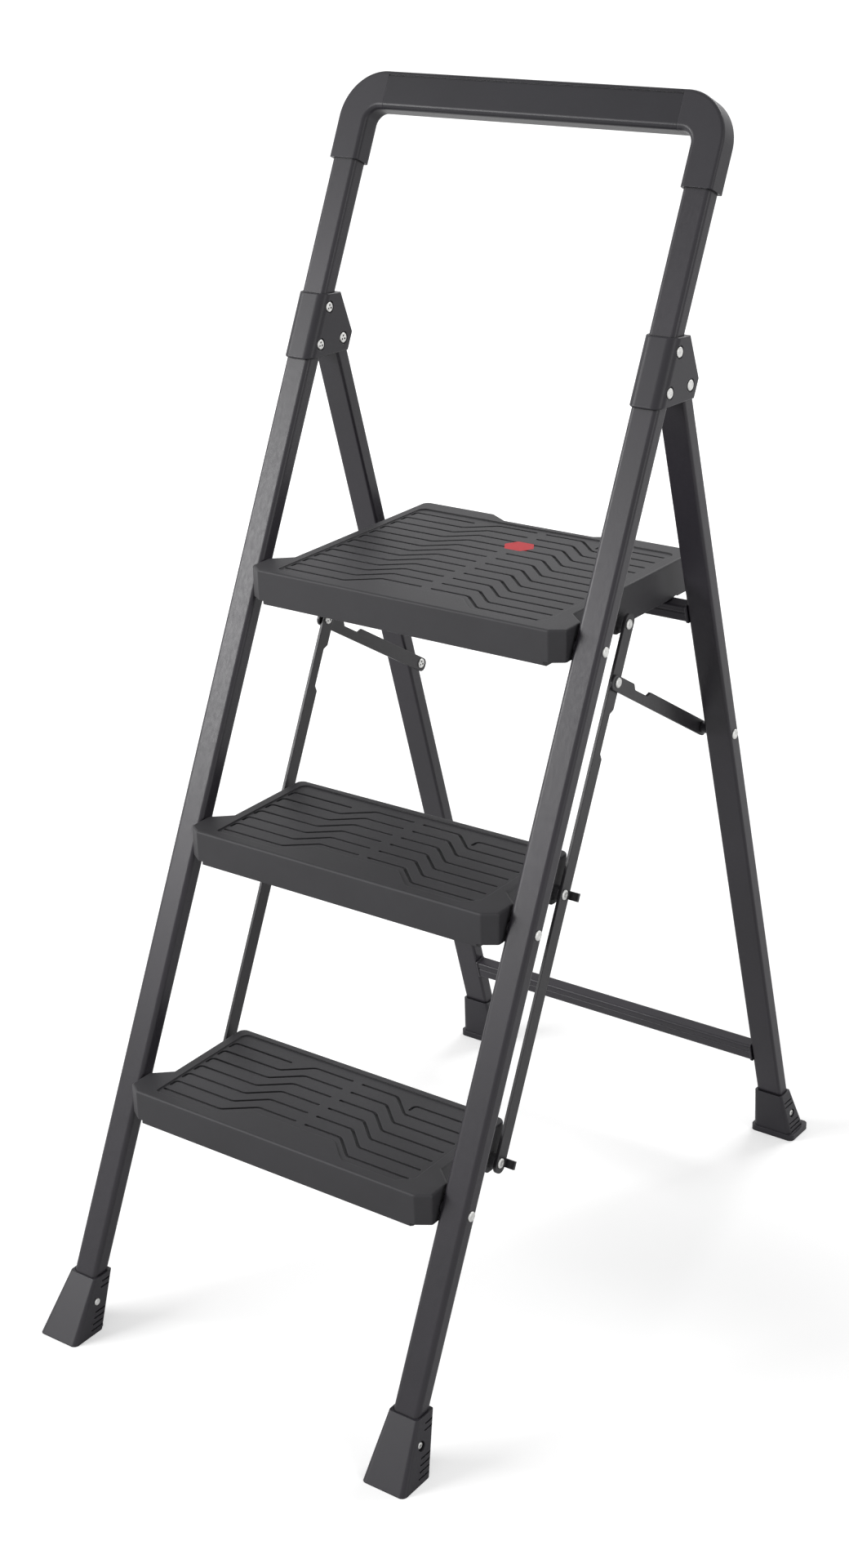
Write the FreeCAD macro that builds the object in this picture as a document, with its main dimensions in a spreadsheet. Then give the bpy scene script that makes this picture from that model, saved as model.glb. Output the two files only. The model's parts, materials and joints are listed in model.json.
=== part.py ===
import FreeCAD, Part
import math
import operator
import os
import Sketcher
from FreeCAD import Placement, Rotation, Vector

# A folding three-step stool with a tall hand rail.
# World frame: X to the user's right, Y away from the user, Z up, millimetres, floor at Z = 0.
# Rail frame:  Z runs up the leaning rail, Y is square to it towards the rear.
# Leg frame:   Z runs up the rear leg from its foot, Y is square to it towards the rear.
# Tread frame: level, with its origin on the tread's own pivot in the rail.
# Right-hand pieces are modelled, left-hand ones are their mirror images.

SIZES = {
    # Front frame: rails
    "lean": (25.7, "rail angle from upright, degrees"),
    "rail_centre": (193.5, "X of the rail's centre line"),
    "rail_width": (28.0, "across the rail, along X"),
    "rail_depth": (18.0, "rail section front to back"),
    "rail_corner": (4.5, "outer corner radius of the rail section"),
    "rail_wall": (1.5, "rail wall"),
    "rail_start": (14.0, "rail's lower end, along the rail"),
    "rail_end": (1185.0, "rail's upper end, along the rail"),
    # Steps
    "first_pivot": (217.0, "height of the bottom tread's pivot"),
    "rise": (229.5, "height from one tread to the next"),
    "tread_top": (20.2, "walking surface above its pivot"),
    "tread_front": (25.7, "front face ahead of the pivot"),
    "tread_rear": (126.4, "rear edge behind the pivot"),
    "platform_rear": (238.6, "platform's rear edge behind its pivot"),
    "recess_rear": (225.7, "bottom of the recess in the platform's rear edge"),
    "recess_half": (52.0, "half the recess, at its bottom"),
    "recess_mouth": (74.0, "half the recess, at the rear edge"),
    "wing_reach": (18.5, "how far the wings reach out beyond the tread's sides"),
    "front_skirt": (13.4, "bottom of the front skirt below the pivot"),
    "side_skirt": (15.8, "bottom of the side skirts below the pivot"),
    "lip_run": (5.0, "how far the sloping lip runs back under the front"),
    "rear_corner": (8.0, "radius of the tread's rear corners"),
    "skirt_wall": (3.2, "skirt wall"),
    "tread_skin": (5.2, "thickness of the walking surface"),
    "rib_wall": (3.0, "ribs under the tread"),
    "wing_nose": (13.4, "from the wing's side in to the end of the straight front face"),
    "wing_chamfer": (8.7, "how far the wing's front corner is cut back"),
    "wing_run": (8.0, "straight side of the wing, behind the pivot"),
    "wing_back": (24.0, "where the wing runs out into the tread's side"),
    "wing_skirt": (10.3, "bottom of the wing below the pivot"),
    "wing_wall": (4.0, "wing's side wall"),
    "top_round": (2.4, "rounding of the tread's top edges"),
    "ear_half": (13.0, "half the ear that carries the link rivet"),
    "ear_drop": (10.0, "ear below the link rivet's centre"),
    "boss_radius": (7.5, "boss on the ear"),
    "boss_length": (6.2, "boss from the tread's side to the link bar"),
    # Wave grooves in the walking surface
    "groove_pitch": (17.5, "from one groove to the next"),
    "groove_width": (3.2, "width of a groove"),
    "groove_depth": (1.8, "depth of a groove below the panel"),
    "groove_first": (-5.0, "left end of the front groove, from the pivot"),
    "groove_left": (-146.0, "left end of a groove, X"),
    "groove_right": (143.0, "right end of a groove, X"),
    "groove_hook": (8.5, "short turn to the front at the left end"),
    "gap_left": (-4.0, "left side of the gap in the middle, X"),
    "gap_right": (9.0, "right side of the gap in the middle, X"),
    "wave_left": (-76.0, "where the left wave starts, X"),
    "wave_left_top": (-48.0, "where the left wave ends, X"),
    "wave_right_top": (50.0, "where the right wave starts, X"),
    "wave_right": (74.0, "where the right wave ends, X"),
    "wave_height": (22.0, "wave, measured front to back"),
    "wave_round": (9.0, "rounding of the wave's turns"),
    "panel_half": (149.0, "half the sunk panel that holds the grooves"),
    "panel_lead": (9.5, "panel's edge ahead of the front groove"),
    "panel_depth": (1.2, "panel below the rim"),
    "panel_rim": (7.5, "rim behind the panel"),
    "panel_cut": (13.0, "cut corners of the panel"),
    # Red insert
    "insert_x": (5.8, "insert's centre, X"),
    "insert_y": (164.9, "insert's centre behind the platform's pivot"),
    "insert_half": (16.6, "half the insert's width"),
    "insert_side": (9.0, "half the insert's front and rear sides"),
    "insert_depth": (12.4, "half the insert, front to back"),
    "insert_thick": (2.0, "insert's thickness"),
    "insert_round": (2.0, "rounding of the insert's corners"),
    # Link bars between the treads
    "link_back": (102.2, "link rivet behind the tread's pivot"),
    "link_drop": (12.0, "link rivet below the tread's pivot"),
    "bar_thick": (3.0, "link bar"),
    "bar_front": (6.4, "front edge ahead of the link rivets"),
    "bar_back": (9.0, "rear edge behind the link rivets"),
    "bar_end": (10.0, "bar beyond its end rivets"),
    "bar_notch_low": (72.0, "notch in the rear edge, below the brace rivet"),
    "bar_notch_high": (25.0, "notch's upper end, below the brace rivet"),
    "bar_notch_depth": (4.7, "depth of the notch"),
    "tab_reach": (9.6, "stop tab bent outwards from the bar"),
    "tab_height": (8.0, "stop tab along the bar"),
    "tab_thick": (3.0, "stop tab front to back"),
    "tab_proud": (3.0, "stop tab behind the bar's rear edge"),
    # Rear frame
    "knuckle_pivot_up": (996.5, "rear leg's pivot along the rail"),
    "knuckle_pivot_back": (31.6, "rear leg's pivot behind the rail's centre line"),
    "foot_back": (705.6, "rear leg's foot point, Y in the world frame"),
    "leg_width": (28.4, "across the rear leg"),
    "leg_depth": (15.5, "rear leg section front to back"),
    "leg_back": (6.0, "leg's rear face behind its pivot line"),
    "leg_corner": (2.6, "outer corner radius of the leg section"),
    "leg_wall": (1.3, "leg wall"),
    "leg_start": (10.0, "leg's lower end, along the leg"),
    "leg_over": (5.0, "leg beyond its pivot"),
    "low_bar_low": (104.0, "lower crossbar's bottom, along the leg"),
    "low_bar_high": (124.0, "lower crossbar's top, along the leg"),
    "high_bar_height": (17.4, "upper crossbar, from its bottom to its top"),
    "high_bar_drop": (18.8, "upper crossbar's top below the platform's pivot, at its front face"),
    "crossbar_front": (11.0, "crossbars' front face ahead of the leg's pivot line"),
    "crossbar_back": (3.0, "crossbars' rear face behind the leg's pivot line"),
    "crossbar_corner": (2.5, "corner radius of the crossbars"),
    "crossbar_wall": (1.5, "crossbar wall"),
    "crossbar_groove": (2.6, "width of the groove along the crossbars"),
    "flange_thick": (2.0, "flange at each end of a crossbar"),
    "flange_lip": (1.2, "flange beyond the crossbar"),
    # Braces
    "brace_drop": (54.2, "brace's front rivet below the link bar's top rivet, along the rail"),
    "brace_back": (97.2, "brace's front rivet behind the rail's centre line"),
    "brace_low": (378.5, "brace's rear rivet down the leg from its pivot"),
    "brace_thick": (2.8, "brace plate"),
    "brace_under": (8.0, "brace below its rivets' line"),
    "brace_over": (6.2, "brace above its rivets' line"),
    "brace_end": (9.5, "brace beyond its rivets"),
    "brace_notch_start": (30.0, "notch in the upper edge, from the front rivet"),
    "brace_notch_end": (65.0, "notch's far end, from the front rivet"),
    "brace_notch_depth": (4.8, "depth of the notch"),
    "brace_gap": (0.5, "from the link bar to the brace"),
    # Knuckle on rail and leg
    "knuckle_wall": (3.2, "knuckle's wall outside the rail"),
    "knuckle_front": (12.2, "knuckle's front ahead of the rail's centre line"),
    "knuckle_low": (34.0, "knuckle's front bottom below the pivot"),
    "knuckle_high": (30.5, "knuckle's front top above the pivot"),
    "knuckle_peak": (40.0, "knuckle's peak above the pivot"),
    "knuckle_reach": (12.2, "knuckle's back behind the pivot"),
    "knuckle_shoulder": (9.5, "knuckle's rear top above the pivot"),
    "knuckle_heel": (9.0, "knuckle's rear bottom below the pivot"),
    "knuckle_web": (20.0, "front of the slot for the leg"),
    "knuckle_roof": (3.7, "roof over the slot, along the rail"),
    "knuckle_bolt_up": (21.6, "upper fixing bolt above the pivot"),
    "knuckle_bolt_down": (15.1, "lower fixing bolt below the pivot"),
    "knuckle_round": (1.4, "rounding of the knuckle's edges"),
    "knuckle_corner": (9.5, "rounding of the knuckle's front corners, round the rail's"),
    # Hand rail
    "elbow_mouth": (32.5, "elbow's mouth, where the grip starts, inwards of the rail's centre line"),
    "grip_low": (1209.0, "grip's underside, along the rail"),
    "grip_high": (1245.2, "grip's top, along the rail"),
    "grip_depth": (22.8, "grip front to back"),
    "grip_under_round": (5.0, "rounding of the grip's lower edges and of the elbows' inner ones"),
    "grip_top_round": (3.0, "rounding of the grip's upper edges and of the elbows' outer ones"),
    "grip_line": (3.8, "thin groove in the grip's front, below its top"),
    "line_width": (1.2, "width of that groove"),
    "line_depth": (0.8, "depth of that groove"),
    "tube_radius": (10.0, "cross tube inside the grip"),
    "tube_wall": (1.5, "wall of the cross tube"),
    "tube_seat": (14.0, "cross tube inside each elbow"),
    "elbow_low": (1159.4, "elbow's lower end, along the rail"),
    "elbow_wall": (2.4, "elbow's wall outside the rail"),
    "elbow_bend": (46.0, "elbow's outer bend"),
    "elbow_inner_bend": (12.0, "elbow's inner bend"),
    # Feet
    "foot_height": (54.5, "front foot's rim above the floor"),
    "foot_inside": (20.4, "front sole inwards of the rail's centre line"),
    "foot_outside": (27.0, "front sole outwards of the rail's centre line"),
    "foot_toe": (24.4, "front sole ahead of the rail's foot point"),
    "foot_heel": (17.0, "front sole behind the rail's foot point"),
    "foot_flange": (3.0, "heel flange behind the sole"),
    "foot_flange_height": (14.0, "heel flange's height"),
    "foot_rim": (2.2, "foot's wall round the tube at its rim"),
    "foot_corner": (3.0, "corner radius of the feet's flanges"),
    "foot_sole_round": (5.6, "rounding of a sole's corners"),
    "foot_rim_round": (2.8, "rounding of a foot's corners at its rim"),
    "foot_rib_pitch": (5.4, "from one groove of the foot to the next"),
    "foot_rib_width": (1.9, "groove in the side of a foot"),
    "foot_rib_depth": (1.6, "depth of that groove"),
    "foot_screw_up": (33.8, "front foot's screw along the rail"),
    "foot_screw_front": (2.6, "front foot's screw ahead of the rail's centre line"),
    "rear_screw_up": (30.3, "rear foot's screw along the leg"),
    "rear_screw_front": (1.0, "rear foot's screw ahead of the leg's pivot line"),
    "foot_screw_radius": (2.0, "foot screw shank"),
    "foot_screw_head": (3.5, "foot screw head radius"),
    "foot_screw_seat": (4.0, "seat of the foot screw outside the tube"),
    "rear_foot_height": (56.0, "rear foot's rim above the floor"),
    "rear_foot_inside": (24.0, "rear sole inwards of the leg's centre line"),
    "rear_foot_outside": (27.0, "rear sole outwards of the leg's centre line"),
    "rear_foot_toe": (20.1, "rear sole ahead of the leg's foot point"),
    "rear_foot_heel": (17.9, "rear sole behind the leg's foot point"),
    "rear_foot_base": (2.2, "rear foot's base round its boot"),
    "rear_foot_base_height": (6.5, "height of that base"),
    # Fasteners
    "rivet_radius": (2.5, "rivet shank"),
    "rivet_head": (4.8, "rivet head radius"),
    "rivet_proud": (1.7, "rivet head height"),
    "rivet_tail": (1.4, "rivet's formed end"),
    "rivet_bore": (2.1, "hollow in a rivet's head"),
    "rivet_bore_depth": (1.0, "depth of that hollow"),
    "bolt_radius": (3.0, "pivot bolt shank"),
    "bolt_head": (5.0, "bolt head radius"),
    "head_ring": (1.3, "recess round a sunk head"),
    "head_sink": (0.9, "depth of that recess"),
    "washer_radius": (6.5, "washer between tread and rail"),
    "washer_thick": (1.6, "washer between tread and rail"),
    "spacer_radius": (5.5, "spacer between brace and leg"),
    # Clearances
    "turn_fit": (0.05, "radial play of a shank in a piece that turns"),
    "seat_fit": (0.15, "play of a tube in a moulded piece"),
    "side_play": (0.1, "side play between pieces that turn"),
    "leg_play": (0.3, "play of the leg in the knuckle's slot"),
    "rest_play": (0.3, "gap between the platform's seat and the crossbar"),
}


# Proportions
END_ROUND = 0.45     # corner radius of a bar's end, as a share of the bar's width
BEND_SHARE = 0.45    # the most of a groove's straight run that a rounded turn may take
BORE_TAPER = 0.7     # radius at the bottom of a rivet's hollow, as a share of its mouth
BEVEL_SHARE = 1 / 3  # bevel of a rivet head, as a share of its height
FOOT_RIB_STEPS = (-5, -4, -3, -2, 2, 3)  # side grooves of a foot, in pitches from its screw
FRONT_FOOT_RIBS = (0.52, 0.92)  # where they start and end across the front foot's side, as shares
REAR_FOOT_RIBS = (0.14, 0.80)  # the same for the rear foot
GROOVE_SHARE = 1 / 3  # place of a crossbar's front groove, below the top, as a share of its height


class Size:
    """A length or angle: its value now, and the spreadsheet formula that it follows."""

    def __init__(self, value, formula):
        self.value = value
        self.formula = formula

    def combine(self, symbol, other, swap=False):
        left, right = (as_size(other), self) if swap else (self, as_size(other))
        value = ARITHMETIC[symbol](left.value, right.value)
        return Size(value, f"({left.formula} {symbol} {right.formula})")

    def __add__(self, other):
        return self.combine("+", other)

    def __radd__(self, other):
        return self.combine("+", other, swap=True)

    def __sub__(self, other):
        return self.combine("-", other)

    def __rsub__(self, other):
        return self.combine("-", other, swap=True)

    def __mul__(self, other):
        return self.combine("*", other)

    def __rmul__(self, other):
        return self.combine("*", other, swap=True)

    def __truediv__(self, other):
        return self.combine("/", other)

    def __neg__(self):
        return Size(-self.value, f"(-{self.formula})")


ARITHMETIC = {"+": operator.add, "-": operator.sub, "*": operator.mul, "/": operator.truediv}


def as_size(number):
    return number if isinstance(number, Size) else Size(float(number), f"({float(number)})")


def cosine(angle):
    return Size(math.cos(math.radians(angle.value)), f"cos({angle.formula})")


def sine(angle):
    return Size(math.sin(math.radians(angle.value)), f"sin({angle.formula})")


def distance(across, along):
    value = math.hypot(across.value, along.value)
    return Size(value, f"sqrt({across.formula}^2 + {along.formula}^2)")


def angle_of(across, along):
    """The angle whose tangent is across over along, degrees."""
    value = math.degrees(math.atan(across.value / along.value))
    return Size(value, f"atan({across.formula} / {along.formula})")


class Sheet:
    """The spreadsheet of driving sizes, read as Sheet.alias."""

    def __init__(self, doc):
        cells = doc.addObject("Spreadsheet::Sheet", "Sizes")
        for row, (alias, (value, meaning)) in enumerate(SIZES.items(), start=1):
            cells.set(f"A{row}", meaning)
            cells.set(f"B{row}", str(value))
            cells.setAlias(f"B{row}", alias)
        doc.recompute()
        for alias in SIZES:
            setattr(self, alias, Size(float(cells.get(alias)), f"Sizes.{alias}"))


doc = FreeCAD.newDocument("StepStool")
size = Sheet(doc)
nodes = []


# ---------------------------------------------------------------- modelling helpers

def bind(item, path, length):
    """Tie a property to the spreadsheet."""
    item.setExpression(path, as_size(length).formula)


def new_body(name):
    body = doc.addObject("PartDesign::Body", name)
    body.Label = name
    return body


def origin_plane(body, role):
    return next(feature for feature in body.Origin.OriginFeatures if feature.Role == role)


def new_sketch(body, name, role, offset=0.0, tilt=None, slide=0.0):
    """A sketch on one of the body's own planes, offset along its normal, or tilted about its x."""
    sketch = body.newObject("Sketcher::SketchObject", name)
    sketch.AttachmentSupport = [(origin_plane(body, role), "")]
    sketch.MapMode = "FlatFace"
    if tilt is not None:
        sketch.AttachmentOffset = Placement(Vector(), Rotation(Vector(1, 0, 0), as_size(tilt).value))
        bind(sketch, "AttachmentOffset.Base.y", slide)
    bind(sketch, "AttachmentOffset.Base.z", offset)
    return sketch


def fix_point(sketch, geometry, end, x, y):
    """Hold a point of the sketch at (x, y)."""
    for kind, length in (("DistanceX", x), ("DistanceY", y)):
        length = as_size(length)
        index = sketch.addConstraint(Sketcher.Constraint(kind, -1, 1, geometry, end, length.value))
        sketch.setExpression(f"Constraints[{index}]", length.formula)


def add_circle(sketch, x, y, radius):
    centre = Vector(as_size(x).value, as_size(y).value, 0)
    circle = sketch.addGeometry(Part.Circle(centre, Vector(0, 0, 1), as_size(radius).value))
    fix_point(sketch, circle, 3, x, y)
    index = sketch.addConstraint(Sketcher.Constraint("Radius", circle, as_size(radius).value))
    bind(sketch, f"Constraints[{index}]", radius)


def add_outline(sketch, corners):
    """A closed outline through the corners, each (x, y), or (x, y, radius) where it is rounded."""
    points = [Vector(as_size(corner[0]).value, as_size(corner[1]).value, 0) for corner in corners]
    count = len(points)
    entries, exits, arcs = [], [], []
    for index, corner in enumerate(corners):
        point = points[index]
        if len(corner) == 2:
            entries.append(point)
            exits.append(point)
            arcs.append(None)
            continue
        towards_last = (points[index - 1] - point).normalize()
        towards_next = (points[(index + 1) % count] - point).normalize()
        half_angle = towards_last.getAngle(towards_next) / 2
        radius = as_size(corner[2]).value
        reach = radius / math.tan(half_angle)
        centre = point + (towards_last + towards_next).normalize() * (radius / math.sin(half_angle))
        entries.append(point + towards_last * reach)
        exits.append(point + towards_next * reach)
        left_turn = towards_last.cross(towards_next).z < 0
        arcs.append((centre, radius, left_turn))
    lines = [sketch.addGeometry(Part.LineSegment(exits[index], entries[(index + 1) % count]))
             for index in range(count)]
    for index, corner in enumerate(corners):
        before, after = lines[index - 1], lines[index]
        if arcs[index] is None:
            sketch.addConstraint(Sketcher.Constraint("Coincident", before, 2, after, 1))
            fix_point(sketch, after, 1, corner[0], corner[1])
            continue
        centre, radius, left_turn = arcs[index]
        first, last = (entries[index], exits[index]) if left_turn else (exits[index], entries[index])
        circle = Part.Circle(centre, Vector(0, 0, 1), radius)
        arc = sketch.addGeometry(Part.ArcOfCircle(circle, circle.parameter(first), circle.parameter(last)))
        arc_entry, arc_exit = (1, 2) if left_turn else (2, 1)
        apex = sketch.addGeometry(Part.Point(points[index]), True)
        fix_point(sketch, apex, 1, corner[0], corner[1])
        sketch.addConstraint(Sketcher.Constraint("PointOnObject", apex, 1, before))
        sketch.addConstraint(Sketcher.Constraint("PointOnObject", apex, 1, after))
        sketch.addConstraint(Sketcher.Constraint("Tangent", before, 2, arc, arc_entry))
        sketch.addConstraint(Sketcher.Constraint("Tangent", after, 1, arc, arc_exit))
        radius_index = sketch.addConstraint(Sketcher.Constraint("Radius", arc, radius))
        bind(sketch, f"Constraints[{radius_index}]", corner[2])


def box_corners(low_x, low_y, high_x, high_y, radius=None):
    corners = [(low_x, low_y), (high_x, low_y), (high_x, high_y), (low_x, high_y)]
    return corners if radius is None else [corner + (radius,) for corner in corners]


def pad(body, sketch, length, reverse=False):
    feature = body.newObject("PartDesign::Pad", sketch.Name + "_pad")
    feature.Profile = sketch
    feature.Reversed = reverse
    bind(feature, "Length", length)
    sketch.Visibility = False
    return feature


def pocket(body, sketch, length, reverse=False):
    """Cut against the sketch's normal, or along it where reverse is set."""
    before = solid_of(body).Volume
    feature = body.newObject("PartDesign::Pocket", sketch.Name + "_cut")
    feature.Profile = sketch
    feature.Reversed = reverse
    bind(feature, "Length", length)
    doc.recompute()
    if not feature.Shape.Volume < before:
        raise RuntimeError(f"{feature.Name} cuts nothing")
    return feature


def solid_of(body):
    doc.recompute()
    return body.Tip.Shape


def fillet(body, name, radius, wanted):
    """Round the edges of the body for which wanted(edge) is true."""
    shape = solid_of(body)
    base = body.Tip
    edges = [f"Edge{index}" for index, edge in enumerate(shape.Edges, start=1) if wanted(edge)]
    if not edges:
        raise RuntimeError(f"{name} finds no edge")
    feature = body.newObject("PartDesign::Fillet", name)
    feature.Base = (base, edges)
    bind(feature, "Radius", radius)
    return feature


def mirror_features(body, name, features):
    """Repeat features on the other side of the body's YZ plane."""
    feature = body.newObject("PartDesign::Mirrored", name)
    feature.Originals = features
    feature.MirrorPlane = (origin_plane(body, "YZ_Plane"), "")
    body.Tip = feature
    return feature


def add_node(item, place):
    """Put a sub-part in its place in the world frame and list it."""
    item.Placement = place
    nodes.append(item)
    return item


def add_mirror(source, name):
    """The left-hand twin of a right-hand sub-part."""
    twin = doc.addObject("Part::Mirroring", name)
    twin.Label = name
    twin.Source = source
    twin.Normal = Vector(1, 0, 0)
    nodes.append(twin)
    return twin


def add_group(name, solids):
    """Identical fasteners as one sub-part of separate solids."""
    group = doc.addObject("Part::Feature", name)
    group.Label = name
    group.Shape = Part.makeCompound(solids)
    nodes.append(group)
    return group


def both_sides(shapes):
    """The shapes and their mirror images."""
    return shapes + [shape.mirror(Vector(), Vector(1, 0, 0)) for shape in shapes]


def turned_solid(profile):
    """A solid turned about the X axis from (x, radius) points."""
    points = [Vector(x, radius, 0) for x, radius in profile]
    face = Part.Face(Part.makePolygon(points + points[:1]))
    return face.revolve(Vector(), Vector(1, 0, 0), 360)


def fastener(inner, outer, shank, head, tail=None):
    """A hollow-headed rivet or bolt from X = inner to outer, its head beyond outer."""
    inner, outer, shank, head = (as_size(length).value for length in (inner, outer, shank, head))
    proud = size.rivet_proud.value
    bevel = proud * BEVEL_SHARE
    bore = size.rivet_bore.value
    profile = [(outer, shank), (outer, head), (outer + proud - bevel, head),
               (outer + proud, head - bevel), (outer + proud, bore),
               (outer + proud - size.rivet_bore_depth.value, bore * BORE_TAPER),
               (outer + proud - size.rivet_bore_depth.value, 0)]
    if tail is None:
        return turned_solid([(inner, 0), (inner, shank)] + profile)
    end = inner - size.rivet_tail.value
    tail = as_size(tail).value
    return turned_solid([(end, 0), (end, tail), (inner, tail), (inner, shank)] + profile)


def ring(inner, outer, hole, radius):
    """A washer or sleeve from X = inner to outer."""
    inner, outer, hole, radius = (as_size(length).value for length in (inner, outer, hole, radius))
    return turned_solid([(inner, hole), (inner, radius), (outer, radius), (outer, hole)])


def at_points(shape, frame, points):
    """Copies of a shape at (y, z) points of a frame."""
    copies = []
    for y, z in points:
        copy = shape.copy()
        copy.Placement = frame.multiply(Placement(Vector(0, y.value, z.value), Rotation()))
        copies.append(copy)
    return copies


# ---------------------------------------------------------------- places worked out from the sizes

def from_rail(up, back):
    """World (Y, Z) of a point given along and behind the rail's centre line."""
    return (up * sine(size.lean) + back * cosine(size.lean),
            up * cosine(size.lean) - back * sine(size.lean))


def from_leg(up, back):
    """World (Y, Z) of a point given along the rear leg and behind its pivot line."""
    return (size.foot_back - up * sine(leg_lean) + back * cosine(leg_lean),
            up * cosine(leg_lean) + back * sine(leg_lean))


def frame_at(y, z, angle=0.0):
    """A frame at a world point, turned about X. The floor's middle is the part's origin."""
    turn = Rotation(Vector(1, 0, 0), as_size(angle).value)
    return Placement(Vector(0, as_size(y - floor_middle).value, as_size(z).value), turn)


knuckle_pivot = from_rail(size.knuckle_pivot_up, size.knuckle_pivot_back)
leg_lean = angle_of(size.foot_back - knuckle_pivot[0], knuckle_pivot[1])
leg_length = distance(size.foot_back - knuckle_pivot[0], knuckle_pivot[1])
leg_middle = size.leg_back - size.leg_depth / 2
floor_middle = (size.foot_back + size.rear_foot_heel - size.foot_toe) / 2

pivot_heights = [size.first_pivot + size.rise * step for step in range(3)]
high_bar_up = pivot_heights[2] - size.high_bar_drop + size.crossbar_front * sine(leg_lean)
high_bar_high = high_bar_up / cosine(leg_lean)
grip_half = size.rail_centre - size.elbow_mouth
pivots_up = [height / cosine(size.lean) for height in pivot_heights]
link_up = size.link_back * sine(size.lean) - size.link_drop * cosine(size.lean)
link_behind = size.link_back * cosine(size.lean) + size.link_drop * sine(size.lean)

brace_up = pivots_up[2] + link_up - size.brace_drop
brace_front = from_rail(brace_up, size.brace_back)
brace_rear = from_leg(leg_length - size.brace_low, leg_middle)
brace_length = distance(brace_rear[0] - brace_front[0], brace_front[1] - brace_rear[1])
brace_fall = angle_of(brace_front[1] - brace_rear[1], brace_rear[0] - brace_front[0])

world_frame = frame_at(as_size(0.0), 0.0)
rail_frame = frame_at(as_size(0.0), 0.0, -size.lean)
leg_frame = frame_at(size.foot_back, 0.0, leg_lean)
brace_frame = frame_at(brace_front[0], brace_front[1], -brace_fall)
tread_frames = [frame_at(height * sine(size.lean) / cosine(size.lean), height)
                for height in pivot_heights]

# The stack across the right-hand side, from the tread out to the rail and the leg
rail_inner = size.rail_centre - size.rail_width / 2
rail_outer = size.rail_centre + size.rail_width / 2
leg_inner = size.rail_centre - size.leg_width / 2
leg_outer = size.rail_centre + size.leg_width / 2
wing_outer = rail_inner - size.washer_thick - size.side_play
wing_inner = wing_outer - size.wing_wall
tread_half = wing_outer - size.wing_reach
nose_end = wing_outer - size.wing_nose
bar_inner = tread_half + size.boss_length + size.side_play
bar_outer = bar_inner + size.bar_thick
brace_inner = bar_outer + size.brace_gap
brace_outer = brace_inner + size.brace_thick
rivet_hole = size.rivet_radius + size.turn_fit
bolt_hole = size.bolt_radius + size.turn_fit
screw_hole = size.foot_screw_radius + size.turn_fit


# ---------------------------------------------------------------- front frame

def rail():
    body = new_body("rail_right")
    section = new_sketch(body, "rail_section", "XY_Plane", size.rail_start)
    half_depth = size.rail_depth / 2
    add_outline(section, box_corners(rail_inner, -half_depth, rail_outer, half_depth, size.rail_corner))
    add_outline(section, box_corners(rail_inner + size.rail_wall, size.rail_wall - half_depth,
                                     rail_outer - size.rail_wall, half_depth - size.rail_wall,
                                     size.rail_corner - size.rail_wall))
    pad(body, section, size.rail_end - size.rail_start)
    holes = new_sketch(body, "rail_holes", "YZ_Plane")
    for up in pivots_up + knuckle_bolts_up():
        add_circle(holes, 0.0, up, rivet_hole)
    add_circle(holes, -size.foot_screw_front, size.foot_screw_up, screw_hole)
    pocket(body, holes, rail_outer + size.rail_wall, reverse=True)
    return add_node(body, rail_frame)


def knuckle_bolts_up():
    """Places of the two bolts that fix a knuckle, along the rail."""
    return [size.knuckle_pivot_up + size.knuckle_bolt_up,
            size.knuckle_pivot_up - size.knuckle_bolt_down]


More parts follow.
